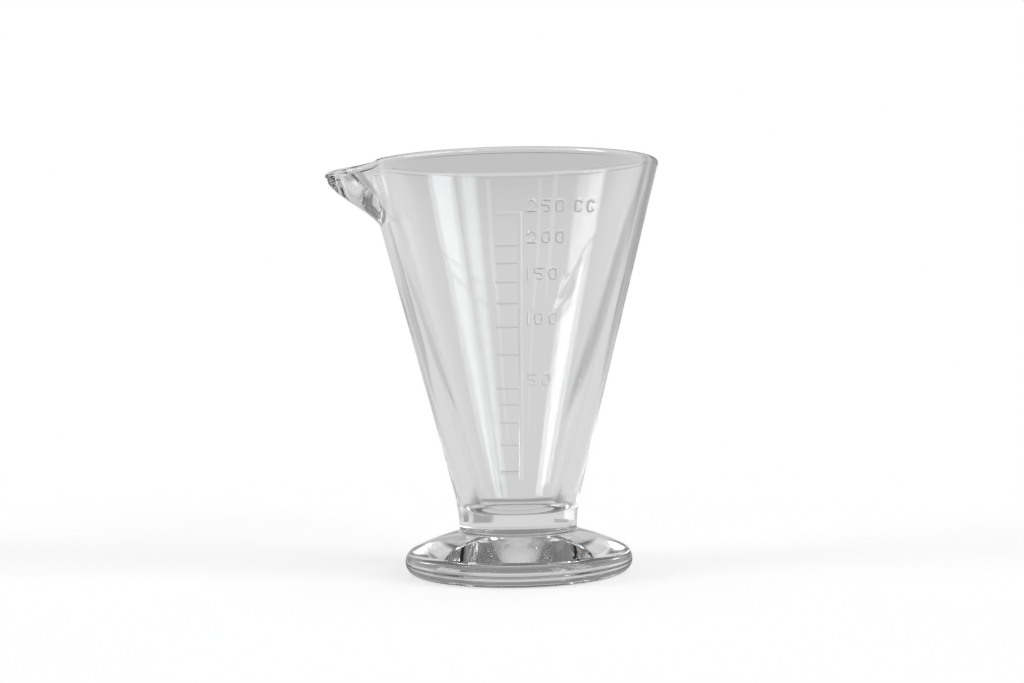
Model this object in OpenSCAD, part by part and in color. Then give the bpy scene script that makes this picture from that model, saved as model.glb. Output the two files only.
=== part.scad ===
/* [Overall] */
// Height from the table to the top of the rim
overall_height = 140; // [132:1:148]

/* [Foot] */
// Widest diameter of the foot
foot_d = 77.8; // [72:0.2:84]
// Radius of the foot's rounded edge
foot_edge_r = 4.4; // [3.8:0.1:5]
// Height of the foot where the neck stands on it
foot_h = 14.1; // [13:0.1:15]

/* [Thick base] */
// Diameter of the neck between the foot and the bowl
neck_d = 40.2; // [38:0.2:43]
// How far the ring at the neck's lower end stands out from the neck
ring_out = 0.55; // [0.4:0.05:0.8]
// Height of the ring at the neck's lower end
ring_h = 1.3; // [1:0.1:1.8]
// Radius of the hollow curve from the neck into the bowl
neck_curve_r = 57; // [50:1:62]
// Height of the inside floor above the table
floor_h = 21.2; // [20:0.1:22.5]
// Diameter at which the inside cone would meet the floor
floor_d = 25; // [22:0.2:27]
// Radius of the hollow corner between the floor and the inside wall
floor_corner_r = 5.5; // [4:0.1:6]

/* [Bowl and rim] */
// Outside diameter of the bowl's cone, carried up to the top of the rim
rim_d = 101; // [97:0.2:105]
// Wall thickness, measured level, at the top of the rim
rim_wall = 2.5; // [2.2:0.05:3.2]
// Height of the plain wall that the rim's round stands on
rim_skirt = 0.5; // [0.2:0.1:1.5]
// How far the rim's round stands out from the wall on each side
rim_bead = 0.15; // [0.1:0.05:0.25]

/* [Spout] */
// How far the spout's outside stands out from the bowl's cone
spout_reach = 13.8; // [11:0.1:16]
// How far the pouring channel is pushed out from the inside cone
channel_reach = 10; // [8:0.1:11]
// Height of the spout from its root to the top of the rim
spout_h = 21.2; // [18:0.2:25]
// Height over which the spout's underside swells out
keel_h = 15.5; // [12:0.5:16.5]
// Height of the channel's root above the spout's root
channel_root = 2; // [0.5:0.1:4]
// How far the lip sinks below the rim at the tip of the spout
lip_droop = 1.6; // [0.5:0.1:2.5]
// Angle from the middle of the spout to the plain rim on each side
spout_half_angle = 28; // [22:1:32]
// Power of the swelling curve: higher makes a narrower beak
beak_power = 3; // [2.4:0.1:4]
// Share of a straight slope in the spout's rising curve
straight_share = 0.35; // [0.2:0.05:0.5]

/* [Raised scale] */
// Height of the raised scale above the bowl's surface
relief = 0.45; // [0.3:0.05:0.7]
// Width of the upright scale line
line_w = 1.3; // [1:0.1:1.8]
// Turn of the scale line from square to the spout
scale_turn = 3; // [0:0.1:10]
// Length of the upright line below the lowest mark
line_tail = 2.4; // [1:0.1:4]
// Width of a mark
mark_w = 1; // [0.7:0.05:1.3]
// Slope of a mark's edge, measured along the surface
mark_bevel = 0.25; // [0.1:0.05:0.3]
// Length of a mark at a numbered level
numbered_mark_len = 7.2; // [6:0.1:9]
// Length of a mark halfway between numbered levels
half_mark_len = 6.9; // [5:0.1:8]
// Length of a mark at each ten below the lowest number
ten_mark_len = 6; // [4:0.1:7]

/* [Numerals] */
// Height of a numeral
numeral_h = 4.2; // [3.6:0.1:5]
// Width of a numeral
numeral_w = 3.1; // [2.7:0.1:3.4]
// Width of a numeral's stroke
stroke_w = 0.8; // [0.6:0.05:0.9]
// Width of a slanting stroke, measured level
slant_w = 0.9; // [0.7:0.05:1.1]
// Radius of the belly of a five
belly_r = 1.35; // [1.25:0.05:1.5]
// Opening of a letter c
letter_gap = 1.7; // [1.2:0.1:2.2]
// Height of the numerals' foot line above the middle of their mark
numeral_lift = 0.35; // [0.2:0.05:1.2]
// Gap between the scale line and the first numeral
numeral_margin = 1.4; // [1:0.1:2]
// Gap between neighbouring numerals
numeral_gap = 1.5; // [1:0.1:2]
// Width of the empty space before the unit
unit_space = 1.8; // [1.2:0.1:3]

/* [Hidden] */
$fn = 96;
foot_r = foot_d / 2;
neck_r = neck_d / 2;
seat_r = neck_r + ring_out;
floor_r = floor_d / 2;
rim_r = rim_d / 2;
spout_root_h = overall_height - spout_h;

// The foot's dome passes the ring's lower edge and runs into the rounded edge without a corner
edge_mid_r = foot_r - foot_edge_r;
dome_a = (pow(seat_r, 2) - pow(edge_mid_r, 2) + pow(foot_h, 2)) / (2 * foot_edge_r);
dome_b = (foot_h - foot_edge_r) / foot_edge_r;
dome_p = pow(dome_b, 2) - 1;
dome_q = 2 * (foot_h - dome_a * dome_b);
dome_s = pow(dome_a, 2) - pow(seat_r, 2) - pow(foot_h, 2);
dome_mid_h = (-dome_q - sqrt(pow(dome_q, 2) - 4 * dome_p * dome_s)) / (2 * dome_p);
dome_r = dome_a - dome_b * dome_mid_h;

// The bowl's outside cone leaves the neck's hollow curve without a corner and ends at the rim
curve_mid_r = neck_r + neck_curve_r;
rim_from_mid = [rim_r - curve_mid_r, overall_height - foot_h];
rim_turn = atan2(rim_from_mid[1], rim_from_mid[0]);
outer_lean = 180 - rim_turn - acos(neck_curve_r / norm(rim_from_mid));
outer_taper = tan(outer_lean);
bowl_bottom_h = foot_h + neck_curve_r * sin(outer_lean);
function outer_r(h) = rim_r - outer_taper * (overall_height - h);

// The inside cone runs from the floor to the rim, and the corner's curve touches both
inner_taper = (rim_r - rim_wall - floor_r) / (overall_height - floor_h);
inner_lean = atan(inner_taper);
function inner_r(h) = floor_r + inner_taper * (h - floor_h);
corner_mid = [floor_r + floor_corner_r * (inner_taper - 1 / cos(inner_lean)), floor_h + floor_corner_r];
corner_end = corner_mid + floor_corner_r * [cos(inner_lean), -sin(inner_lean)];

// The rim's round crosses the outside and the inside cone at the same distance from both
lean_share = cos(outer_lean) * cos(inner_lean) / (cos(outer_lean) + cos(inner_lean));
rim_half_wall = lean_share * (rim_wall + (inner_taper - outer_taper) * rim_bead);
rim_round_base = rim_half_wall / (1 - lean_share * (inner_taper - outer_taper));
rim_round_r = rim_round_base + rim_bead;
rim_round_h = overall_height - rim_round_r;
rim_round_mid = outer_r(rim_round_h) - rim_round_base / cos(outer_lean);
rim_cross = acos(rim_round_base / rim_round_r);
function rim_round(lean) = [rim_round_mid + rim_round_r * cos(lean), rim_round_h + rim_round_r * sin(lean)];
bowl_top_h = overall_height - 2 * rim_round_r - rim_skirt;
rim_outer_lean = -outer_lean - rim_cross;
rim_inner_lean = 180 - inner_lean + rim_cross;
rim_outer_end = rim_round(rim_outer_lean);
rim_inner_end = rim_round(rim_inner_lean);

// The corner's curve takes a little room away from the inside cone: a kite less the circle's part in it
corner_half = (90 - inner_lean) / 2;
corner_half_rad = corner_half * PI / 180;
kite_area = pow(floor_corner_r, 2) * tan(corner_half);
kite_r = (3 * corner_mid[0] + 2 * floor_r + corner_end[0]) / 6;
sector_area = pow(floor_corner_r, 2) * corner_half_rad;
sector_r = corner_mid[0] + 2 / 3 * floor_corner_r * pow(sin(corner_half), 2) / corner_half_rad;
corner_fill = 2 * PI * (kite_area * kite_r - sector_area * sector_r);

// A level inside the bowl that holds a given number of cubic centimetres
cubic_mm_in_cc = 1000;
lowest_cc = 10;
highest_cc = 250;
function cone_fill(cc) = cubic_mm_in_cc * cc + corner_fill;
function level_r(cc) = pow(pow(floor_r, 3) + 3 * inner_taper * cone_fill(cc) / PI, 1 / 3);
function level(cc) = floor_h + (level_r(cc) - floor_r) / inner_taper;
relief_rise = relief / cos(outer_lean);

glass = [0.80, 0.88, 0.86, 0.55];
glass_mark = [0.62, 0.72, 0.70, 0.9];

// Half section of the hollow inside the bowl
module hollow_half() {
    polygon([
        [0, floor_h],
        [corner_mid[0], floor_h],
        corner_mid,
        corner_end,
        [inner_r(overall_height), overall_height],
        [0, overall_height]
    ]);
    translate(corner_mid) circle(floor_corner_r);
}

// The part of the circle that the spout takes, from its root upwards
module spout_sector() {
    translate([0, 0, spout_root_h])
        rotate([0, 0, 180 - spout_half_angle])
            rotate_extrude(angle = 2 * spout_half_angle)
                square([rim_r + spout_reach, spout_h]);
}

module foot() {
    color(glass)
        rotate_extrude()
            intersection() {
                translate([0, dome_mid_h]) circle(dome_r, $fn = 360);
                square([foot_r, foot_h]);
                union() {
                    translate([edge_mid_r, foot_edge_r]) circle(foot_edge_r);
                    polygon([
                        [0, 0],
                        [edge_mid_r, 0],
                        [edge_mid_r, foot_edge_r],
                        [2 * edge_mid_r, 2 * foot_edge_r - dome_mid_h],
                        [0, 2 * foot_edge_r - dome_mid_h]
                    ]);
                }
            }
}

// The air around the neck, down to the sloped ring at its lower end
module neck_air() {
    difference() {
        translate([curve_mid_r, foot_h]) circle(neck_curve_r);
        polygon([
            [0, foot_h - ring_h],
            [seat_r + ring_out, foot_h - ring_h],
            [neck_r - ring_out, foot_h + 2 * ring_h],
            [0, foot_h + 2 * ring_h]
        ]);
    }
}

module thick_base() {
    color(glass)
        rotate_extrude()
            difference() {
                translate([0, foot_h]) square([curve_mid_r, bowl_bottom_h - foot_h]);
                neck_air();
                hollow_half();
            }
}

module conical_bowl() {
    color(glass)
        difference() {
            rotate_extrude()
                polygon([
                    [inner_r(bowl_bottom_h), bowl_bottom_h],
                    [outer_r(bowl_bottom_h), bowl_bottom_h],
                    [outer_r(bowl_top_h), bowl_top_h],
                    [inner_r(bowl_top_h), bowl_top_h]
                ]);
            spout_sector();
        }
}

module rim_band() {
    color(glass)
        rotate([0, 0, 180 + spout_half_angle])
            rotate_extrude(angle = 360 - 2 * spout_half_angle) {
                polygon([
                    [inner_r(bowl_top_h), bowl_top_h],
                    [outer_r(bowl_top_h), bowl_top_h],
                    [outer_r(rim_round_h), rim_round_h],
                    [inner_r(rim_round_h), rim_round_h]
                ]);
                translate([rim_round_mid, rim_round_h]) circle(rim_round_r);
            }
}

// The spout is a row of wall sections, each pushed out by its place in the beak
wall_steps = 12;
lip_steps = 10;
turn_steps = 32;
function blend(u) = u * u * (3 - 2 * u);
function ramp(u) = let(v = max(0, min(1, u))) straight_share * v + (1 - straight_share) * blend(v);
function swell(turn) = pow(abs(cos(90 * turn / spout_half_angle)), beak_power);
function keel_push(turn, h) = spout_reach * swell(turn) * ramp((h - spout_root_h) / keel_h);
function channel_push(turn, h) =
    channel_reach * swell(turn) * ramp((h - spout_root_h - channel_root) / (spout_h - channel_root));
function droop(turn) = lip_droop * cos(90 * turn / spout_half_angle);
function outer_wall(turn) = [
    for (i = [0:wall_steps])
        let(h = spout_root_h + (rim_outer_end[1] - droop(turn) - spout_root_h) * i / wall_steps)
            [outer_r(h) + keel_push(turn, h), h]
];
function lip_round(turn) = [
    for (i = [1:lip_steps - 1])
        let(
            share = i / lip_steps,
            lean = rim_outer_lean + (rim_inner_lean - rim_outer_lean) * share,
            keel_part = keel_push(turn, overall_height) * (1 - blend(share)),
            channel_part = channel_push(turn, overall_height) * blend(share)
        )
            rim_round(lean) + [keel_part + channel_part, -droop(turn)]
];
function inner_wall(turn) = [
    for (i = [0:wall_steps])
        let(
            top = rim_inner_end[1] - droop(turn),
            h = top + (spout_root_h - top) * i / wall_steps
        )
            [inner_r(h) + channel_push(turn, h), h]
];
function section(turn) = concat(outer_wall(turn), lip_round(turn), inner_wall(turn));

module pour_spout() {
    size = 2 * (wall_steps + 1) + lip_steps - 1;
    turns = [for (j = [0:turn_steps]) spout_half_angle * (2 * j / turn_steps - 1)];
    points = [
        for (turn = turns)
            for (p = section(turn))
                [-p[0] * cos(turn), -p[0] * sin(turn), p[1]]
    ];
    sides = [
        for (j = [0:turn_steps - 1])
            for (i = [0:size - 1])
                let(a = j * size + i, b = j * size + (i + 1) % size)
                    each [[a, a + size, b], [b, a + size, b + size]]
    ];
    first_end = [
        for (i = [0:wall_steps + lip_steps / 2 - 1])
            let(a = i, b = size - 1 - i)
                each [[a, a + 1, b], [a + 1, b - 1, b]]
    ];
    last_end = [for (f = first_end) [for (i = [2:-1:0]) f[i] + turn_steps * size]];
    color(glass) polyhedron(points, concat(sides, first_end, last_end));
}

// A thin skin over the bowl's cone, on the side of the scale
module relief_skin(low, high) {
    rotate([0, 0, 180])
        rotate_extrude(angle = 180)
            polygon([
                [outer_r(low), low],
                [outer_r(low) + relief_rise, low],
                [outer_r(high) + relief_rise, high],
                [outer_r(high), high]
            ]);
}

module scale_line() {
    low = level(lowest_cc) - mark_w / 2 - line_tail;
    high = level(highest_cc) + mark_w / 2;
    color(glass_mark)
        rotate([0, 0, scale_turn])
            intersection() {
                relief_skin(low, high);
                translate([-line_w / 2, -2 * rim_r, low]) cube([line_w, 2 * rim_r, high - low]);
            }
}

// One raised mark, ending against the side of the scale line
module mark(cc, len) {
    middle = level(cc);
    half = mark_w / 2;
    color(glass_mark)
        rotate([0, 0, scale_turn])
            intersection() {
                rotate([0, 0, 180])
                    rotate_extrude(angle = 90)
                        polygon([
                            [outer_r(middle - half), middle - half],
                            [outer_r(middle - half + mark_bevel) + relief_rise, middle - half + mark_bevel],
                            [outer_r(middle + half - mark_bevel) + relief_rise, middle + half - mark_bevel],
                            [outer_r(middle + half), middle + half]
                        ]);
                translate([-line_w / 2 - len, -2 * rim_r, middle - half]) cube([len, 2 * rim_r, mark_w]);
            }
}

module mark_010() { mark(lowest_cc, ten_mark_len); }
module mark_020() { mark(20, ten_mark_len); }
module mark_030() { mark(30, ten_mark_len); }
module mark_040() { mark(40, ten_mark_len); }
module mark_050() { mark(50, numbered_mark_len); }
module mark_075() { mark(75, half_mark_len); }
module mark_100() { mark(100, numbered_mark_len); }
module mark_125() { mark(125, half_mark_len); }
module mark_150() { mark(150, numbered_mark_len); }
module mark_175() { mark(175, half_mark_len); }
module mark_200() { mark(200, numbered_mark_len); }
module mark_250() { mark(highest_cc, numbered_mark_len); }

// A ring with straight sides, as wide and high as a numeral
module tall_ring() {
    end_r = numeral_w / 2;
    difference() {
        tall_disc(end_r, numeral_h);
        translate([0, stroke_w]) tall_disc(end_r - stroke_w, numeral_h - 2 * stroke_w);
    }
}

module tall_disc(end_r, height) {
    translate([0, end_r]) circle(end_r);
    translate([0, height - end_r]) circle(end_r);
    translate([-end_r, end_r]) square([2 * end_r, height - 2 * end_r]);
}

module figure_0() { tall_ring(); }

module figure_1() { translate([-stroke_w / 2, 0]) square([stroke_w, numeral_h]); }

module figure_2() {
    end_r = numeral_w / 2;
    hook_mid = numeral_h - end_r;
    difference() {
        translate([0, hook_mid]) circle(end_r);
        translate([0, hook_mid]) circle(end_r - stroke_w);
        translate([-end_r, hook_mid - end_r]) square([numeral_w - stroke_w / 2, end_r]);
        translate([-end_r, hook_mid - end_r]) square([numeral_w, end_r / 2]);
    }
    polygon([
        [-end_r, stroke_w / 2],
        [-end_r + slant_w, stroke_w / 2],
        [end_r, hook_mid - end_r / 2],
        [end_r - slant_w, hook_mid - end_r / 2]
    ]);
    translate([-end_r, 0]) square([numeral_w, stroke_w]);
}

module figure_5() {
    end_r = numeral_w / 2;
    difference() {
        translate([end_r - belly_r, belly_r]) circle(belly_r);
        translate([end_r - belly_r, belly_r]) circle(belly_r - stroke_w);
        translate([-numeral_w, stroke_w]) square([numeral_w + end_r - belly_r, belly_r * 2 - 2 * stroke_w]);
        translate([-numeral_w - end_r, 0]) square([numeral_w, numeral_h]);
    }
    translate([-end_r, 2 * belly_r - stroke_w]) square([numeral_w - belly_r, stroke_w]);
    translate([-end_r, 2 * belly_r - stroke_w]) square([stroke_w, numeral_h - 2 * belly_r + stroke_w]);
    translate([-end_r, numeral_h - stroke_w]) square([numeral_w, stroke_w]);
}

module letter_c() {
    difference() {
        tall_ring();
        translate([0, (numeral_h - letter_gap) / 2]) square([numeral_w, letter_gap]);
    }
}

// Wraps one flat figure onto the bowl at a distance along the surface from the scale line
module wrapped(cc, along) {
    low = level(cc) + numeral_lift;
    turn = along / outer_r(low) * 180 / PI;
    color(glass_mark)
        intersection() {
            relief_skin(low, low + numeral_h);
            rotate([0, 0, scale_turn + turn])
                translate([0, 0, low])
                    rotate([90, 0, 0])
                        linear_extrude(2 * rim_r)
                            children();
        }
}

numeral_step = numeral_w + numeral_gap;
first_wide = line_w / 2 + numeral_margin + numeral_w / 2;
first_thin = line_w / 2 + numeral_margin + stroke_w / 2;
after_thin = first_thin + stroke_w / 2 + numeral_gap + numeral_w / 2;
numerals_in_row = 3;
unit_start = first_wide + numerals_in_row * numeral_step + unit_space;

module numeral_050() {
    wrapped(50, first_wide) figure_5();
    wrapped(50, first_wide + numeral_step) figure_0();
}

module numeral_100() {
    wrapped(100, first_thin) figure_1();
    wrapped(100, after_thin) figure_0();
    wrapped(100, after_thin + numeral_step) figure_0();
}

module numeral_150() {
    wrapped(150, first_thin) figure_1();
    wrapped(150, after_thin) figure_5();
    wrapped(150, after_thin + numeral_step) figure_0();
}

module numeral_200() {
    wrapped(200, first_wide) figure_2();
    wrapped(200, first_wide + numeral_step) figure_0();
    wrapped(200, first_wide + 2 * numeral_step) figure_0();
}

module numeral_250() {
    wrapped(highest_cc, first_wide) figure_2();
    wrapped(highest_cc, first_wide + numeral_step) figure_5();
    wrapped(highest_cc, first_wide + 2 * numeral_step) figure_0();
}

module unit_cc() {
    wrapped(highest_cc, unit_start) letter_c();
    wrapped(highest_cc, unit_start + numeral_step) letter_c();
}

foot();
thick_base();
conical_bowl();
rim_band();
pour_spout();
scale_line();
mark_010();
mark_020();
mark_030();
mark_040();
mark_050();
mark_075();
mark_100();
mark_125();
mark_150();
mark_175();
mark_200();
mark_250();
numeral_050();
numeral_100();
numeral_150();
numeral_200();
numeral_250();
unit_cc();
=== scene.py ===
"""Looks of the conical glass graduate: one clear glass surface, cut into the part's pieces."""

import math

import bpy
import numpy as np
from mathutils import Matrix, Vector


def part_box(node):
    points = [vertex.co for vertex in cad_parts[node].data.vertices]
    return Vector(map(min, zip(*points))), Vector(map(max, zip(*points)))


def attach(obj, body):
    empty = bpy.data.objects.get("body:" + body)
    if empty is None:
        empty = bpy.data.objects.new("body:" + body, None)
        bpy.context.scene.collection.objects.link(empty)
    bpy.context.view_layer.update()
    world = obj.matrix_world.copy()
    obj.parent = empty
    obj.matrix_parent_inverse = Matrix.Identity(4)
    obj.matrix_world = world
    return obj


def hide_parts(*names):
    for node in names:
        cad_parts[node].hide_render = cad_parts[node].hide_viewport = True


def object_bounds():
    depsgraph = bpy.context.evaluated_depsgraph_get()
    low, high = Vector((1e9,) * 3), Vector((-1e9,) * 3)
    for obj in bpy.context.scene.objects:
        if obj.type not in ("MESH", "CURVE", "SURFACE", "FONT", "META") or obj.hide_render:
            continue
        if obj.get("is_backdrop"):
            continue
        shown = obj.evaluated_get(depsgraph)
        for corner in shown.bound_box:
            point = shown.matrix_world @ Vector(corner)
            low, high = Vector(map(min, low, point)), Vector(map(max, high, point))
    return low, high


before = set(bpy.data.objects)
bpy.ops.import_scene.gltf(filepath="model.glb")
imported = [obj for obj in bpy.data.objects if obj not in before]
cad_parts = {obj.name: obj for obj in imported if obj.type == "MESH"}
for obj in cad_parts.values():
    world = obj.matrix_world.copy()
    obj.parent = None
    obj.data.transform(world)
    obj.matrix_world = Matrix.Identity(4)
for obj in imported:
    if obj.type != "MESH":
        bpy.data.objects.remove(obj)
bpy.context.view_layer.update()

MM = 0.001
RELIEF_NODES = sorted(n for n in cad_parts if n.startswith(("mark_", "numeral_", "unit_", "scale_")))

# Spout: how far the keel and the channel swell out, and over which heights
KEEL_REACH = 13.8 * MM
KEEL_H = 15.5 * MM
CHANNEL_REACH = 10 * MM
CHANNEL_ROOT = 2 * MM
BEAK_POWER = 3.0
KEEL_STRAIGHT = 0.35
KEEL_SOFT_START = 0.08
LIP_DROOP = 1.6 * MM

# Fineness of the surface: turns in degrees, heights, and steps along the profiles
TURN_STEP = 3.0
SPOUT_TURN_STEP = 0.5
SCALE_TURN_STEP = 0.3
HEIGHT_STEP = 3 * MM
SCALE_HEIGHT_STEP = 0.16 * MM
HEIGHT_APART = 0.6
UNDERSIDE_STEPS = 8
FOOT_EDGE_STEPS = 28
DOME_STEPS = 24
NECK_STEPS = 36
NECK_CROWDING = 1.6
FLOOR_STEPS = 6
FLOOR_CURVE_STEPS = 16
RIM_WALL_STEPS, RIM_LIP_STEPS = 3, 14
SPOUT_WALL_STEPS, SPOUT_LIP_STEPS = 48, 32

# Raised scale: how far its edges are rounded inside and outside its outline
RELIEF_SOFT_IN = 0.42 * MM
RELIEF_SOFT_OUT = 0.08 * MM
# Room of the fine surface around it, in height and in degrees, and the fine part at the line's two ends
RELIEF_ROOM = 0.3 * MM
RELIEF_ROOM_TURN = 1.0
LINE_END = 0.7 * MM
# Reach and step of the search for a raised node's height and slope
RELIEF_SEARCH = 0.5 * MM
RELIEF_PROBE = 0.04 * MM
# Share of its solid's height at which each kind is drawn, because the photo's relief is soft
RELIEF_SHOWN = {"scale": 0.5, "mark": 0.5, "numeral": 0.75, "unit": 0.75}

# Room between the hidden faces of neighbouring pieces
SEAM_GAP = 0.002 * MM

# When corners of the frame count as level, as on the cone, as the same corner and as on the axis
SAME_LEVEL = 0.01 * MM
ON_CONE = 0.1 * MM
SAME_CORNER = 0.002 * MM
ON_AXIS = 1e-9
# Corners of thick_base within the first share of its seat are the floor, beyond the second the neck's outside
FLOOR_SHARE, NECK_SHARE = 0.6, 0.85
RIM_ROUNDS = 40

# Small steps on the wall: along its section and around it for a normal, off its ends and off its runs' ends
SECTION_STEP = 0.004
AROUND_STEP = 0.002
END_GAP = 1e-5
RUN_GAP = 1e-9


def corners(node):
    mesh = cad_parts[node].data
    co = np.zeros(len(mesh.vertices) * 3)
    mesh.vertices.foreach_get("co", co)
    return co.reshape(-1, 3)


def reach(node, height, pick):
    """The largest or smallest distance from the axis among a node's corners at a height."""
    co = corners(node)
    near = co[np.abs(co[:, 2] - height) < SAME_LEVEL]
    return float(pick(np.hypot(near[:, 0], near[:, 1])))


# Measures of the glass, read from the frame
foot_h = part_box("foot")[1].z
foot_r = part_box("foot")[1].x
edge_mid_r = reach("foot", 0.0, np.max)
edge_r = foot_r - edge_mid_r
seat_r = reach("thick_base", foot_h, np.max)
bowl_low_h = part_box("conical_bowl")[0].z
bowl_top_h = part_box("conical_bowl")[1].z
outer_low_r = reach("conical_bowl", bowl_low_h, np.max)
inner_low_r = reach("conical_bowl", bowl_low_h, np.min)
outer_taper = (reach("conical_bowl", bowl_top_h, np.max) - outer_low_r) / (bowl_top_h - bowl_low_h)
inner_taper = (reach("conical_bowl", bowl_top_h, np.min) - inner_low_r) / (bowl_top_h - bowl_low_h)
outer_lean = math.atan(outer_taper)
inner_lean = math.atan(inner_taper)
rim_top_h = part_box("rim_band")[1].z
rim_out_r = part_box("rim_band")[1].x
spout_root_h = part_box("pour_spout")[0].z

spout_corners = corners("pour_spout")
spout_half_turn = math.degrees(float(np.max(np.arctan2(np.abs(spout_corners[:, 1]), -spout_corners[:, 0]))))

base_corners = corners("thick_base")
base_radii = np.hypot(base_corners[:, 0], base_corners[:, 1])
floor_corners = base_corners[base_radii < FLOOR_SHARE * seat_r]
floor_h = float(floor_corners[:, 2].min())
floor_flat_r = reach("thick_base", floor_h, np.min)


def outer_r(h):
    return outer_low_r + outer_taper * (h - bowl_low_h)


def inner_r(h):
    return inner_low_r + inner_taper * (h - bowl_low_h)


floor_curve_r = (inner_r(floor_h) - floor_flat_r) / (1 / math.cos(inner_lean) - math.tan(inner_lean))
neck_curve_r = (bowl_low_h - foot_h) / math.sin(outer_lean)
neck_mid_r = outer_low_r + neck_curve_r * math.cos(outer_lean)
neck_r = neck_mid_r - neck_curve_r
neck_outside = base_corners[base_radii > NECK_SHARE * seat_r]
ring_top = neck_outside[np.argmin(np.hypot(neck_outside[:, 0], neck_outside[:, 1]))]
ring_out, ring_h = seat_r - neck_r, float(ring_top[2]) - foot_h

# The foot's dome passes the ring's lower edge and runs into the rounded edge
dome_a = (seat_r**2 - edge_mid_r**2 + foot_h**2) / (2 * edge_r)
dome_b = (foot_h - edge_r) / edge_r
dome_p = dome_b**2 - 1
dome_q = 2 * (foot_h - dome_a * dome_b)
dome_s = dome_a**2 - seat_r**2 - foot_h**2
dome_mid_h = (-dome_q - math.sqrt(dome_q**2 - 4 * dome_p * dome_s)) / (2 * dome_p)
dome_r = dome_a - dome_b * dome_mid_h


# The rim's round lies between both cones, a little prouder than the wall
def rim_middle(h):
    share = math.cos(outer_lean) + math.cos(inner_lean)
    return (outer_r(h) * math.cos(outer_lean) + inner_r(h) * math.cos(inner_lean)) / share


rim_round_r = 0.5 * (outer_r(rim_top_h) - inner_r(rim_top_h))
for _ in range(RIM_ROUNDS):
    rim_round_r = rim_out_r - rim_middle(rim_top_h - rim_round_r)
rim_round_h = rim_top_h - rim_round_r
rim_mid_r = rim_middle(rim_round_h)
rim_base = (outer_r(rim_round_h) - rim_mid_r) * math.cos(outer_lean)
rim_cross = math.acos(min(1.0, rim_base / rim_round_r))
rim_outer_turn = -outer_lean - rim_cross
rim_inner_turn = math.pi - inner_lean + rim_cross
rim_outer_h = rim_round_h + rim_round_r * math.sin(rim_outer_turn)
rim_inner_h = rim_round_h + rim_round_r * math.sin(rim_inner_turn)


def spread(low, high, step):
    """Even steps from low up to, but without, high."""
    n = max(1, round((high - low) / step))
    return [low + (high - low) * k / n for k in range(n)]


# Raised scale: the footprint of every raised node, as its outline on the bowl's cone
def footprint(node):
    co = corners(node)
    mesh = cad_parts[node].data
    mesh.calc_loop_triangles()
    height = np.hypot(co[:, 0], co[:, 1]) - outer_r(co[:, 2])
    lies_on = np.abs(height) < ON_CONE
    weld = {}
    name = [weld.setdefault(tuple(np.round(p / SAME_CORNER).astype(int)), len(weld)) for p in co]
    seen = {}
    for tri in mesh.loop_triangles:
        if all(lies_on[v] for v in tri.vertices):
            for a, b in zip(tri.vertices, (*tri.vertices[1:], tri.vertices[0])):
                key = (min(name[a], name[b]), max(name[a], name[b]))
                seen.setdefault(key, []).append((a, b))
    turn = np.arctan2(co[:, 0], -co[:, 1])
    edges = [pairs[0] for pairs in seen.values() if len(pairs) == 1]
    line = np.array([[turn[a], co[a, 2], turn[b], co[b, 2]] for a, b in edges])
    shown = RELIEF_SHOWN[node.split("_")[0]]
    return {"node": node, "line": line, "rise": float(height.max()) * math.cos(outer_lean) * shown}


footprints = [footprint(n) for n in RELIEF_NODES]
relief_low_turn = math.degrees(min(f["line"][:, [0, 2]].min() for f in footprints)) - RELIEF_ROOM_TURN
relief_high_turn = math.degrees(max(f["line"][:, [0, 2]].max() for f in footprints)) + RELIEF_ROOM_TURN


def rise_of(foot, turn, h):
    """Height of one raised node above the cone at turns and heights given as arrays.

    On the unrolled cone u runs around and v up. p is a place, and an edge of the outline goes from a to b.
    """
    line = foot["line"]
    r = outer_r(h)[:, None]
    up = 1 / math.cos(outer_lean)
    pu, pv = turn[:, None] * r, h[:, None] * up
    au, av = line[None, :, 0] * r, line[None, :, 1] * up
    bu, bv = line[None, :, 2] * r, line[None, :, 3] * up
    du, dv = bu - au, bv - av
    along = np.clip(((pu - au) * du + (pv - av) * dv) / np.maximum(du**2 + dv**2, 1e-18), 0, 1)
    far = np.sqrt((pu - au - along * du) ** 2 + (pv - av - along * dv) ** 2).min(axis=1)
    crosses = (av > pv) != (bv > pv)
    at = au + (pv - av) * du / np.where(np.abs(dv) < 1e-15, 1e-15, dv)
    inside = (np.logical_and(crosses, pu < at).sum(axis=1) % 2) == 1
    far = np.where(inside, far, -far)
    u = np.clip((far + RELIEF_SOFT_OUT) / (RELIEF_SOFT_IN + RELIEF_SOFT_OUT), 0, 1)
    return foot["rise"] * u * u * (3 - 2 * u)


# The directions in which the surface is divided
spout_low_turn, spout_high_turn = -90 - spout_half_turn, -90 + spout_half_turn
turns = (
    spread(-180, spout_low_turn, TURN_STEP)
    + spread(spout_low_turn, spout_high_turn, SPOUT_TURN_STEP)
    + spread(spout_high_turn, relief_low_turn, TURN_STEP)
    + spread(relief_low_turn, relief_high_turn, SCALE_TURN_STEP)
    + spread(relief_high_turn, 180, TURN_STEP)
)
first_spout, last_spout = turns.index(spout_low_turn), turns.index(spout_high_turn)
first_scale, last_scale = turns.index(relief_low_turn), turns.index(relief_high_turn)
turns = [math.radians(t) for t in turns]
ROUND = len(turns)


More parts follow.
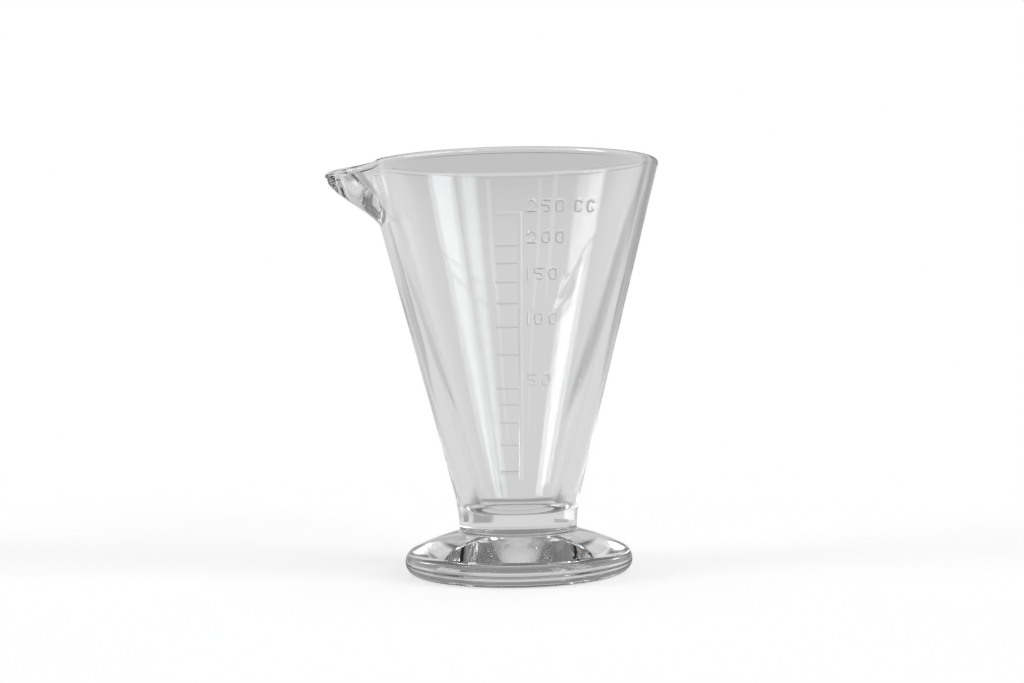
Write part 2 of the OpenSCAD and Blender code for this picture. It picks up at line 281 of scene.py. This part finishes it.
class Shell:
    """Collects the corners and faces of one closed piece. A seam face lies inside the glass."""

    def __init__(self):
        self.points, self.place, self.faces, self.normals, self.seams = [], {}, [], [], []

    def corner(self, key, point):
        if key not in self.place:
            self.place[key] = len(self.points)
            self.points.append(tuple(point))
        return self.place[key]

    def face(self, named, seam=False):
        """named: (key, point, normal) for each corner, in order."""
        ids, normals = [], []
        for key, point, normal in named:
            i = self.corner(key, point)
            if i not in ids:
                ids.append(i)
                normals.append(normal)
        if len(ids) > 2:
            self.faces.append(ids)
            self.normals.append(normals)
            self.seams.append(seam)

    def build(self, name, glass, seam):
        mesh = bpy.data.meshes.new(name)
        mesh.from_pydata(self.points, [], self.faces)
        mesh.materials.append(glass)
        mesh.materials.append(seam)
        mesh.polygons.foreach_set("material_index", [int(s) for s in self.seams])
        mesh.polygons.foreach_set("use_smooth", [True] * len(self.faces))
        mesh.update()
        flat = []
        for polygon, normals, is_seam in zip(mesh.polygons, self.normals, self.seams):
            flat += [tuple(polygon.normal)] * len(normals) if is_seam else [tuple(n) for n in normals]
        mesh.normals_split_custom_set(flat)
        piece = bpy.data.objects.new(name, mesh)
        bpy.context.scene.collection.objects.link(piece)
        return piece


def arc(mid, r, start, end, steps, side=1):
    """Profile points on a circle, each with its normal. side -1 is a hollow curve."""
    out = []
    for k in range(steps + 1):
        a = start + (end - start) * k / steps
        c, s = math.cos(a), math.sin(a)
        out.append((mid[0] + r * c, mid[1] + r * s, side * c, side * s))
    return out


def line(start, end, steps):
    """Profile points on a straight line, each with its normal."""
    dr, dz = end[0] - start[0], end[1] - start[1]
    size = math.hypot(dr, dz)
    out = []
    for k in range(steps + 1):
        out.append((start[0] + dr * k / steps, start[1] + dz * k / steps, dz / size, -dr / size))
    return out


def spun(turn, r, z, nr=0.0, nz=0.0):
    """A profile's point and normal, turned about the axis."""
    s, c = math.sin(turn), math.cos(turn)
    return (r * s, -r * c, z), (nr * s, -nr * c, nz)


def sweep(shell, tag, runs):
    """Turns profile runs full circle. Runs share their end corners but keep their own normals."""
    at = 0
    for run in runs:
        for k in range(len(run) - 1):
            for j in range(ROUND):
                n = (j + 1) % ROUND
                named = []
                for jj, kk in ((j, k), (n, k), (n, k + 1), (j, k + 1)):
                    r, z, nr, nz = run[kk]
                    key = (tag, at + kk, 0 if r < ON_AXIS else jj)
                    named.append((key, *spun(turns[jj], r, z, nr, nz)))
                shell.face(named)
        at += len(run) - 1


# Foot
shell = Shell()
edge_turn = math.atan2(edge_r - dome_mid_h, edge_mid_r)
dome_turn = math.acos(seat_r / dome_r)
sweep(
    shell,
    "foot",
    [
        line((0, 0), (edge_mid_r, 0), UNDERSIDE_STEPS),
        arc((edge_mid_r, edge_r), edge_r, -math.pi / 2, edge_turn, FOOT_EDGE_STEPS),
        arc((0, dome_mid_h), dome_r, edge_turn, dome_turn, DOME_STEPS),
        [(seat_r, foot_h, 0, 1), (0, foot_h, 0, 1)],
    ],
)
shell.seams[-ROUND:] = [True] * ROUND
shells = {"foot": shell}

# Thick base: neck outside, dished floor inside
shell = Shell()
neck_run = []
for k in range(NECK_STEPS + 1):
    u = k / NECK_STEPS
    h = foot_h + SEAM_GAP + (bowl_low_h - foot_h - 2 * SEAM_GAP) * u**NECK_CROWDING
    up = h - foot_h
    v = min(1.0, up / ring_h)
    flare = ring_out * (1 - v * v * (3 - 2 * v))
    slope = -ring_out * 6 * v * (1 - v) / ring_h
    across = math.sqrt(neck_curve_r**2 - up**2)
    lean = up / across + slope
    size = math.hypot(1, lean)
    neck_run.append((neck_mid_r - across + flare, h, 1 / size, -lean / size))
inside_h = bowl_low_h - SEAM_GAP
floor_mid = (floor_flat_r, floor_h + floor_curve_r)
inner_turn = -inner_lean
floor_top = (
    floor_mid[0] + floor_curve_r * math.cos(inner_turn),
    floor_mid[1] + floor_curve_r * math.sin(inner_turn),
)
sweep(
    shell,
    "base",
    [
        [(0, foot_h + SEAM_GAP, 0, -1), (neck_run[0][0], foot_h + SEAM_GAP, 0, -1)],
        neck_run,
        [(neck_run[-1][0], inside_h, 0, 1), (inner_r(inside_h), inside_h, 0, 1)],
        line((inner_r(inside_h), inside_h), floor_top, FLOOR_STEPS),
        arc(floor_mid, floor_curve_r, inner_turn, -math.pi / 2, FLOOR_CURVE_STEPS, side=-1),
        line((floor_flat_r, floor_h), (0, floor_h), FLOOR_STEPS),
    ],
)
shell.seams[:ROUND] = [True] * ROUND
ring_start = ROUND * len(neck_run)
shell.seams[ring_start : ring_start + ROUND] = [True] * ROUND
shells["thick_base"] = shell

# Bowl: coarse heights all round, fine heights where the scale is raised
low, top, root = bowl_low_h + SEAM_GAP, bowl_top_h - SEAM_GAP, spout_root_h - SEAM_GAP
coarse = spread(low, root, HEIGHT_STEP) + spread(root, top, HEIGHT_STEP) + [top]
root_level = coarse.index(root)
fine = set()
for foot in footprints:
    z = foot["line"][:, [1, 3]]
    below, over = z.min() - RELIEF_ROOM, z.max() + RELIEF_ROOM
    if foot["node"] == "scale_line":
        spans = [(below, z.min() + LINE_END), (z.max() - LINE_END, over)]
    else:
        spans = [(below, over)]
    for a, b in spans:
        fine.update(spread(a, b, SCALE_HEIGHT_STEP) + [b])
heights = sorted(coarse)
for h in sorted(fine):
    if min(abs(h - g) for g in heights) > HEIGHT_APART * SCALE_HEIGHT_STEP:
        heights.append(h)
heights = sorted(heights)
level_of = {h: i for i, h in enumerate(heights)}
coarse_levels = [level_of[h] for h in coarse]

columns = range(first_scale, last_scale + 1)
grid_turn, grid_h = np.meshgrid([turns[j] for j in columns], heights)
flat_turn, flat_h = grid_turn.ravel(), grid_h.ravel()
rise = np.zeros(flat_turn.shape)
rise_by_turn, rise_by_h = np.zeros(rise.shape), np.zeros(rise.shape)
owner = np.full(rise.shape, -1)
for n, foot in enumerate(footprints):
    z = foot["line"][:, [1, 3]]
    t = foot["line"][:, [0, 2]]
    near = np.where(
        (flat_h > z.min() - RELIEF_SEARCH)
        & (flat_h < z.max() + RELIEF_SEARCH)
        & (flat_turn > t.min() - RELIEF_SEARCH / outer_low_r)
        & (flat_turn < t.max() + RELIEF_SEARCH / outer_low_r)
    )[0]
    ft, fh = flat_turn[near], flat_h[near]
    step = RELIEF_PROBE / outer_r(fh)
    here = rise_of(foot, ft, fh)
    by_turn = (rise_of(foot, ft + step, fh) - rise_of(foot, ft - step, fh)) / (2 * RELIEF_PROBE)
    by_h = (rise_of(foot, ft, fh + RELIEF_PROBE) - rise_of(foot, ft, fh - RELIEF_PROBE)) / (2 * RELIEF_PROBE)
    by_h *= math.cos(outer_lean)
    higher = here > rise[near]
    rise[near] = np.where(higher, here, rise[near])
    rise_by_turn[near] = np.where(higher, by_turn, rise_by_turn[near])
    rise_by_h[near] = np.where(higher, by_h, rise_by_h[near])
    owner[near] = np.where(higher, n, owner[near])
shape = grid_turn.shape
rise, owner = rise.reshape(shape), owner.reshape(shape)
rise_by_turn, rise_by_h = rise_by_turn.reshape(shape), rise_by_h.reshape(shape)

outer_cos, outer_sin = math.cos(outer_lean), math.sin(outer_lean)


def on_cone(level, j, lift=0.0):
    """A point of the bowl's outside and its normal, lifted off the cone if asked."""
    h = heights[level]
    return spun(turns[j], outer_r(h) + lift * outer_cos, h - lift * outer_sin, outer_cos, -outer_sin)


def raised(level, j):
    """A point on the raised scale and its normal."""
    at = level, j - first_scale
    point, plain = on_cone(level, j, rise[at] + SEAM_GAP)
    s, c = math.sin(turns[j]), math.cos(turns[j])
    across = np.array((c, s, 0.0))
    upward = np.array((outer_sin * s, -outer_sin * c, outer_cos))
    normal = np.array(plain) - rise_by_turn[at] * across - rise_by_h[at] * upward
    return point, tuple(normal / np.linalg.norm(normal))


def owner_of(level, j):
    """The raised node that a cell of the fine grid belongs to, or -1."""
    c = j - first_scale
    cell_rise = rise[level : level + 2, c : c + 2]
    if cell_rise.max() <= 0:
        return -1
    return int(owner[level : level + 2, c : c + 2].ravel()[cell_rise.ravel().argmax()])


shell = Shell()
cells = {}
in_spout = [first_spout <= j < last_spout for j in range(ROUND)]
for j in range(ROUND):
    n = (j + 1) % ROUND
    if first_scale <= j < last_scale:
        for level in range(len(heights) - 1):
            who = owner_of(level, j)
            if who >= 0:
                cells.setdefault(who, []).append((level, j))
            ring = ((level, j), (level, n), (level + 1, n), (level + 1, j))
            shell.face([(("o", a, b), *on_cone(a, b)) for a, b in ring], who >= 0)
        continue
    for k in range(len(coarse) - 1):
        if in_spout[j] and k >= root_level:
            continue
        a, b = coarse_levels[k], coarse_levels[k + 1]
        left = range(b, a - 1, -1) if j == last_scale else (b, a)
        right = range(a, b + 1) if n == first_scale else (a, b)
        rim = [(lv, n) for lv in right] + [(lv, j) for lv in left]
        shell.face([(("o", lv, jj), *on_cone(lv, jj)) for lv, jj in rim])
inner_cos, inner_sin = math.cos(inner_lean), math.sin(inner_lean)


def in_cone(k, j):
    """A point of the bowl's inside and its normal."""
    h = coarse[k]
    return spun(turns[j], inner_r(h), h, -inner_cos, inner_sin)


for j in range(ROUND):
    n = (j + 1) % ROUND
    end = root_level if in_spout[j] else len(coarse) - 1
    for k in range(end):
        named = [(("i", a, b), *in_cone(a, b)) for a, b in ((k + 1, j), (k + 1, n), (k, n), (k, j))]
        shell.face(named)
    o0, o1 = coarse_levels[0], coarse_levels[end]
    shell.face(
        [
            (("i", 0, j), *in_cone(0, j)),
            (("i", 0, n), *in_cone(0, n)),
            (("o", o0, n), *on_cone(o0, n)),
            (("o", o0, j), *on_cone(o0, j)),
        ],
        True,
    )
    shell.face(
        [
            (("o", o1, j), *on_cone(o1, j)),
            (("o", o1, n), *on_cone(o1, n)),
            (("i", end, n), *in_cone(end, n)),
            (("i", end, j), *in_cone(end, j)),
        ],
        True,
    )
for j, step in ((first_spout, -1), (last_spout, 1)):
    for k in range(root_level, len(coarse) - 1):
        a, b = coarse_levels[k], coarse_levels[k + 1]
        named = [
            (("o", a, j), *on_cone(a, j)),
            (("o", b, j), *on_cone(b, j)),
            (("i", k + 1, j), *in_cone(k + 1, j)),
            (("i", k, j), *in_cone(k, j)),
        ]
        shell.face(named[::step], True)
shells["conical_bowl"] = shell


# Raised pieces: their tops follow the scale, their undersides lie on the bowl
def top_corner(level, j):
    lifted = rise[level, j - first_scale] > 0
    return (("t" if lifted else "e", level, j), *raised(level, j))


def low_corner(level, j):
    lifted = rise[level, j - first_scale] > 0
    return (("b" if lifted else "e", level, j), *on_cone(level, j, SEAM_GAP))


for who, members in cells.items():
    shell = Shell()
    mine = set(members)
    for level, j in members:
        ring = ((level, j), (level, j + 1), (level + 1, j + 1), (level + 1, j))
        shell.face([top_corner(*p) for p in ring])
        shell.face([low_corner(*p) for p in ring[::-1]], True)
        beside = ((level - 1, j), (level, j + 1), (level + 1, j), (level, j - 1))
        for (a, b), other in zip(zip(ring, ring[1:] + ring[:1]), beside):
            if other not in mine:
                shell.face([low_corner(*a), low_corner(*b), top_corner(*b), top_corner(*a)], True)
    shells[footprints[who]["node"]] = shell


# Rim and spout: wall sections that stand between the bowl's edges
def ramp(u):
    """The keel's rise from 0 to 1: partly straight after a soft start, partly an even S."""
    v = min(1.0, max(0.0, u))
    soft = KEEL_SOFT_START
    straight = (math.sqrt(v * v + soft * soft) - soft) / (math.sqrt(1 + soft * soft) - soft)
    return KEEL_STRAIGHT * straight + (1 - KEEL_STRAIGHT) * v * v * (3 - 2 * v)


def inward(turn):
    """1 in the middle of the spout, 0 at its two edges and beyond them."""
    away = abs(math.degrees(turn) + 90) / spout_half_turn
    return abs(math.cos(math.pi / 2 * min(1.0, away)))


def swell(turn):
    return inward(turn) ** BEAK_POWER


def keel_push(turn, h):
    return KEEL_REACH * swell(turn) * ramp((h - spout_root_h) / KEEL_H)


def channel_push(turn, h):
    room = rim_top_h - spout_root_h - CHANNEL_ROOT
    return CHANNEL_REACH * swell(turn) * ramp((h - spout_root_h - CHANNEL_ROOT) / room)


def wall_point(turn, s, start):
    """A point of the wall's section at a turn: s 0 to 1 outside, 1 to 2 over the lip, 2 to 3 inside."""
    droop = LIP_DROOP * inward(turn)
    if s <= 1:
        h = start + (rim_outer_h - droop - start) * s
        r = outer_r(h) + keel_push(turn, h)
    elif s <= 2:
        share = s - 1
        lean = rim_outer_turn + (rim_inner_turn - rim_outer_turn) * share
        mix = share * share * (3 - 2 * share)
        push = keel_push(turn, rim_top_h) * (1 - mix) + channel_push(turn, rim_top_h) * mix
        r = rim_mid_r + rim_round_r * math.cos(lean) + push
        h = rim_round_h - droop + rim_round_r * math.sin(lean)
    else:
        h = rim_inner_h - droop + (start - rim_inner_h + droop) * (s - 2)
        r = inner_r(h) + channel_push(turn, h)
    return np.array(spun(turn, r, h)[0])


def wall_normal(turn, s, start):
    """The normal by small steps, kept inside the run of the section that s lies in."""
    run = min(2, int(s))
    a, b = max(s - SECTION_STEP, run), min(s + SECTION_STEP, run + 1)
    along = wall_point(turn, b, start) - wall_point(turn, a, start)
    around = wall_point(turn + AROUND_STEP, s, start) - wall_point(turn - AROUND_STEP, s, start)
    normal = np.cross(around, along)
    return tuple(normal / np.linalg.norm(normal))


def wall_piece(start, first, last, wall_steps, lip_steps):
    """A closed piece of wall with its lip from one direction to another, cut square at its ends."""
    runs = [
        [k / wall_steps for k in range(wall_steps + 1)],
        [1 + k / lip_steps for k in range(lip_steps + 1)],
        [2 + k / wall_steps for k in range(wall_steps + 1)],
    ]
    size = 2 * wall_steps + lip_steps
    shell = Shell()
    count = (last - first) % ROUND
    for step in range(count):
        pair = [turns[(first + step) % ROUND], turns[(first + step + 1) % ROUND]]
        if step == 0:
            pair[0] += END_GAP
        if step == count - 1:
            pair[1] -= END_GAP
        at = 0
        for number, run in enumerate(runs):
            for k in range(len(run) - 1):
                named = []
                for side, kk in ((0, k), (1, k), (1, k + 1), (0, k + 1)):
                    s = run[kk] if kk else run[kk] + RUN_GAP
                    s = min(s, number + 1 - RUN_GAP)
                    point = wall_point(pair[side], s, start)
                    named.append(((step + side, at + kk), point, wall_normal(pair[side], s, start)))
                shell.face(named)
            at += len(run) - 1
        low_face = [((step + side, k), None, None) for side, k in ((0, size), (1, size), (1, 0), (0, 0))]
        shell.face(low_face, True)
    for step, flip in ((0, 1), (count, -1)):
        for k in range(size // 2):
            ring = [(step, k), (step, k + 1), (step, size - k - 1), (step, size - k)]
            shell.face([(key, None, None) for key in ring[::flip]], True)
    return shell


rim_start, spout_start = bowl_top_h + SEAM_GAP, spout_root_h + SEAM_GAP
shells["rim_band"] = wall_piece(rim_start, last_spout, first_spout, RIM_WALL_STEPS, RIM_LIP_STEPS)
shells["pour_spout"] = wall_piece(spout_start, first_spout, last_spout, SPOUT_WALL_STEPS, SPOUT_LIP_STEPS)


# Glass: clear, with a weak wave on its surface
GLASS_TINT = (0.982, 0.985, 0.983)
GLASS_INDEX = 1.5
WAVE_SCALE, WAVE_DETAIL, WAVE_STRENGTH = 55, 1.5, 0.05
WAVE_DEPTH = 1.2 * MM


def glass_material(name, tint):
    made = bpy.data.materials.new(name)
    made.use_nodes = True
    tree = made.node_tree
    shade = tree.nodes["Principled BSDF"]
    shade.inputs["Base Color"].default_value = (*tint, 1)
    shade.inputs["Roughness"].default_value = 0.0
    shade.inputs["IOR"].default_value = GLASS_INDEX
    shade.inputs["Transmission Weight"].default_value = 1.0
    where = tree.nodes.new("ShaderNodeTexCoord")
    waves = tree.nodes.new("ShaderNodeTexNoise")
    waves.inputs["Scale"].default_value = WAVE_SCALE
    waves.inputs["Detail"].default_value = WAVE_DETAIL
    bump = tree.nodes.new("ShaderNodeBump")
    bump.inputs["Strength"].default_value = WAVE_STRENGTH
    bump.inputs["Distance"].default_value = WAVE_DEPTH
    tree.links.new(where.outputs["Object"], waves.inputs["Vector"])
    tree.links.new(waves.outputs["Fac"], bump.inputs["Height"])
    tree.links.new(bump.outputs["Normal"], shade.inputs["Normal"])
    return made


def seam_material():
    """For the hidden faces between pieces, where light goes straight on."""
    made = bpy.data.materials.new("fused_seam")
    made.use_nodes = True
    tree = made.node_tree
    tree.nodes.remove(tree.nodes["Principled BSDF"])
    clear = tree.nodes.new("ShaderNodeBsdfTransparent")
    tree.links.new(clear.outputs["BSDF"], tree.nodes["Material Output"].inputs["Surface"])
    return made


clear_glass = glass_material("clear_glass", GLASS_TINT)
fused_seam = seam_material()
for name in sorted(shells):
    piece = shells[name].build(name + "_glass", clear_glass, fused_seam)
    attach(piece, "root")
    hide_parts(name)


def towards(turn, rise):
    """A direction: turn from the camera's side towards the right, rise above the table, in degrees."""
    a, e = math.radians(turn), math.radians(rise)
    return Vector((math.sin(a) * math.cos(e), -math.cos(a) * math.cos(e), math.sin(e)))


# Light: a soft room whose brightness changes with height, as stops of (height, brightness)
ROOM_BACK = [
    (0.0, 0.7),
    (0.09, 0.55),
    (0.2, 0.58),
    (0.36, 0.6),
    (0.46, 0.16),
    (0.84, 0.16),
    (0.94, 0.6),
    (1.0, 0.7),
]
ROOM_FRONT = [(0.0, 0.48), (0.5, 0.36), (0.62, 0.2), (0.86, 0.2), (0.95, 0.6), (1.0, 0.7)]
# Between these depths the front of the room runs into its back
ROOM_TURNS = (-0.35, 0.25)

# Windows, lamps and dim patches: turn, half width, lowest and highest rise, soft edge, brightness, colour.
# Those that reach below the table's level are painted on the floor as pools of light and patches of shade.
DAY, COOL, WARM = (1.0, 1.0, 1.0), (0.96, 0.97, 1.0), (1.0, 0.82, 0.72)
PANELS = [
    (69, 9, 15, 39, 4, 4.2, COOL),
    (42, 5, 17, 41, 4, 3.0, COOL),
    (-77, 11, 11, 23, 6, 6.0, DAY),
    (-88, 5, 27, 30, 4, 1.3, DAY),
    (-44, 2, 32, 36, 1, 1.8, WARM),
    (-27, 1, 26, 33, 1, 2.0, WARM),
    (22, 1.5, 26, 33, 1, 2.4, WARM),
    (-130, 10, -5, 5, 4, 1.05, DAY),
    (130, 4, -5, 4, 4, 0.3, DAY),
    (154, 7, -9, 14, 5, 0.38, DAY),
    (-146, 8, -13, -7, 3, 0.46, DAY),
    (124, 10, 9, 23, 8, 0.78, DAY),
    (-124, 10, 9, 23, 8, 0.78, DAY),
]


class Room:
    """Builds the room's brightness for a direction inside one node tree."""

    def __init__(self, tree, direction):
        self.tree = tree
        unit = self.math("NORMALIZE", direction).outputs["Vector"]
        split = self.node("ShaderNodeSeparateXYZ")
        tree.links.new(unit, split.inputs["Vector"])
        self.y, self.z = split.outputs["Y"], split.outputs["Z"]
        level = self.math("MULTIPLY", unit, (1, 1, 0))
        self.around = self.math("NORMALIZE", level.outputs["Vector"]).outputs["Vector"]

    def node(self, kind):
        return self.tree.nodes.new(kind)

    def math(self, operation, value, by=None):
        made = self.node("ShaderNodeVectorMath")
        made.operation = operation
        self.tree.links.new(value, made.inputs[0])
        if by is not None:
            made.inputs[1].default_value = by
        return made

    def ranged(self, value, low, high):
        """0 below low, 1 above high, soft between. With low above high the other way round."""
        made = self.node("ShaderNodeMapRange")
        made.interpolation_type = "SMOOTHSTEP"
        made.inputs["From Min"].default_value = low
        made.inputs["From Max"].default_value = high
        self.tree.links.new(value, made.inputs["Value"])
        return made.outputs["Result"]

    def ramp(self, value, stops):
        """A brightness that changes softly with a value, through stops of (value, brightness)."""
        made = self.node("ShaderNodeValToRGB")
        made.color_ramp.interpolation = "EASE"
        while len(made.color_ramp.elements) < len(stops):
            made.color_ramp.elements.new(0.5)
        for element, (at, tone) in zip(made.color_ramp.elements, stops):
            element.position = at
            element.color = (tone, tone, tone, 1)
        self.tree.links.new(value, made.inputs["Fac"])
        return made.outputs["Color"]

    def mixed(self, share, first, second):
        """The first colour at share 0, the second at 1. The second may be a plain colour."""
        made = self.node("ShaderNodeMix")
        made.data_type = "RGBA"
        self.tree.links.new(share, made.inputs["Factor"])
        self.tree.links.new(first, made.inputs["A"])
        if isinstance(second, tuple):
            made.inputs["B"].default_value = (*second, 1)
        else:
            self.tree.links.new(second, made.inputs["B"])
        return made.outputs["Result"]

    def product(self, first, second):
        made = self.node("ShaderNodeMath")
        made.operation = "MULTIPLY"
        self.tree.links.new(first, made.inputs[0])
        self.tree.links.new(second, made.inputs[1])
        return made.outputs["Value"]

    def tone(self):
        """The room's colour in the direction."""
        front, behind = self.ramp(self.z, ROOM_FRONT), self.ramp(self.z, ROOM_BACK)
        tone = self.mixed(self.ranged(self.y, *ROOM_TURNS), front, behind)
        for turn, half, low, high, soft, level, colour in PANELS:
            aside = self.math("DOT_PRODUCT", self.around, towards(turn, 0)).outputs["Value"]
            across = self.ranged(aside, math.cos(math.radians(half + soft)), math.cos(math.radians(half)))
            above = self.ranged(self.z, math.sin(math.radians(low - soft)), math.sin(math.radians(low)))
            below = self.ranged(self.z, math.sin(math.radians(high + soft)), math.sin(math.radians(high)))
            mask = self.product(across, self.product(above, below))
            tone = self.mixed(mask, tone, tuple(level * part for part in colour))
        return tone


# The camera itself sees plain white, and the glass sees the room
WHITE = (1.0, 1.0, 1.0)
world = bpy.data.worlds.new("room")
bpy.context.scene.world = world
world.use_nodes = True
tree = world.node_tree
where = tree.nodes.new("ShaderNodeTexCoord")
seen = tree.nodes.new("ShaderNodeLightPath")
room = Room(tree, where.outputs["Generated"])
back = tree.nodes["Background"]
shown = room.mixed(seen.outputs["Is Camera Ray"], room.tone(), WHITE)
tree.links.new(shown, back.inputs["Color"])
back.inputs["Strength"].default_value = 1.0

# Stage: a wide pale floor. Glass sees it glowing as bright as the room behind it, with painted pools of light
# and painted shade where the room's windows and dim patches reach below the table, and a painted shadow close
# to the foot.
FLOOR_R = 6.0
FLOOR_Z = -0.05 * MM
FLOOR_CORNERS = 48
FLOOR_TONE, FLOOR_LIFT = 0.9, 0.5
# Painted shadow on the floor near the foot, as stops of (distance from the axis, brightness share); seen
# through the glass, not by the camera directly.
FOOT_SHADE = [(26 * MM, 1.0), (34 * MM, 0.38), (45 * MM, 0.38), (80 * MM, 1.0)]
NEAR_FLOOR, FAR_FLOOR = 0.15, 0.5
GLASS_MIDDLE = 0.08


def floor_material():
    made = bpy.data.materials.new("pale_floor")
    made.use_nodes = True
    tree = made.node_tree
    tree.nodes.remove(tree.nodes["Principled BSDF"])
    where = tree.nodes.new("ShaderNodeTexCoord")
    seen = tree.nodes.new("ShaderNodeLightPath")
    above = tree.nodes.new("ShaderNodeVectorMath")
    above.operation = "SUBTRACT"
    above.inputs[1].default_value = (0, 0, GLASS_MIDDLE)
    tree.links.new(where.outputs["Object"], above.inputs[0])
    room = Room(tree, above.outputs["Vector"])
    far = room.math("LENGTH", where.outputs["Object"]).outputs["Value"]
    # The floor as the glass sees it glows with painted light: the room's tone with its pools of light and dim
    # patches, darkened by the painted shadow near the foot.
    through = tree.nodes.new("ShaderNodeEmission")
    tree.links.new(room.tone(), through.inputs["Color"])
    # The floor's glow is dimmed near the foot into a painted shadow.
    tree.links.new(room.ramp(far, FOOT_SHADE), through.inputs["Strength"])
    matt = tree.nodes.new("ShaderNodeBsdfDiffuse")
    matt.inputs["Color"].default_value = (FLOOR_TONE, FLOOR_TONE, FLOOR_TONE, 1)
    lift = tree.nodes.new("ShaderNodeEmission")
    lift.inputs["Color"].default_value = (*WHITE, 1)
    lift.inputs["Strength"].default_value = FLOOR_LIFT
    near_part = tree.nodes.new("ShaderNodeAddShader")
    tree.links.new(matt.outputs["BSDF"], near_part.inputs[0])
    tree.links.new(lift.outputs["Emission"], near_part.inputs[1])
    far_part = tree.nodes.new("ShaderNodeEmission")
    far_part.inputs["Color"].default_value = (*WHITE, 1)
    camera_floor = tree.nodes.new("ShaderNodeMixShader")
    tree.links.new(room.ranged(far, NEAR_FLOOR, FAR_FLOOR), camera_floor.inputs["Fac"])
    tree.links.new(near_part.outputs["Shader"], camera_floor.inputs[1])
    tree.links.new(far_part.outputs["Emission"], camera_floor.inputs[2])
    pick = tree.nodes.new("ShaderNodeMixShader")
    tree.links.new(seen.outputs["Is Camera Ray"], pick.inputs["Fac"])
    tree.links.new(through.outputs["Emission"], pick.inputs[1])
    tree.links.new(camera_floor.outputs["Shader"], pick.inputs[2])
    tree.links.new(pick.outputs["Shader"], tree.nodes["Material Output"].inputs["Surface"])
    return made


floor_turns = [2 * math.pi * k / FLOOR_CORNERS for k in range(FLOOR_CORNERS)]
floor_ring = [(FLOOR_R * math.cos(a), FLOOR_R * math.sin(a), FLOOR_Z) for a in floor_turns]
floor_mesh = bpy.data.meshes.new("floor")
floor_mesh.from_pydata(floor_ring, [], [list(range(FLOOR_CORNERS))])
floor_mesh.materials.append(floor_material())
floor = bpy.data.objects.new("floor", floor_mesh)
bpy.context.scene.collection.objects.link(floor)
floor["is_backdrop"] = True

# Camera at the photograph's place: its place in metres, its turns in degrees, its lens in millimetres
CAMERA_FAR, CAMERA_SIDE, CAMERA_H = 0.532, -0.0009, 0.0826
CAMERA_PITCH, CAMERA_ROLL = -0.4, -1.15
SENSOR_W, LENS = 36, 54.48
NEAREST_SEEN = 0.01
camera_data = bpy.data.cameras.new("camera")
camera = bpy.data.objects.new("camera", camera_data)
bpy.context.scene.collection.objects.link(camera)
camera.location = (CAMERA_SIDE, -CAMERA_FAR, CAMERA_H)
camera.rotation_mode = "XYZ"
camera.rotation_euler = (math.radians(90 + CAMERA_PITCH), 0, 0)
camera.rotation_euler.rotate_axis("Z", math.radians(CAMERA_ROLL))
camera_data.sensor_width = SENSOR_W
camera_data.lens = LENS
camera_data.clip_start = NEAREST_SEEN
bpy.context.scene.camera = camera

# Light's path through the glass. Fewer mirror bounces leave light that is caught in the foot dark.
GLASS_BOUNCES = 48
SEAM_BOUNCES = 64
MIRROR_BOUNCES = 16
scene = bpy.context.scene
scene.view_settings.view_transform = "Standard"
scene.cycles.max_bounces = GLASS_BOUNCES
scene.cycles.transmission_bounces = GLASS_BOUNCES
scene.cycles.transparent_max_bounces = SEAM_BOUNCES
scene.cycles.glossy_bounces = MIRROR_BOUNCES

low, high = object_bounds()
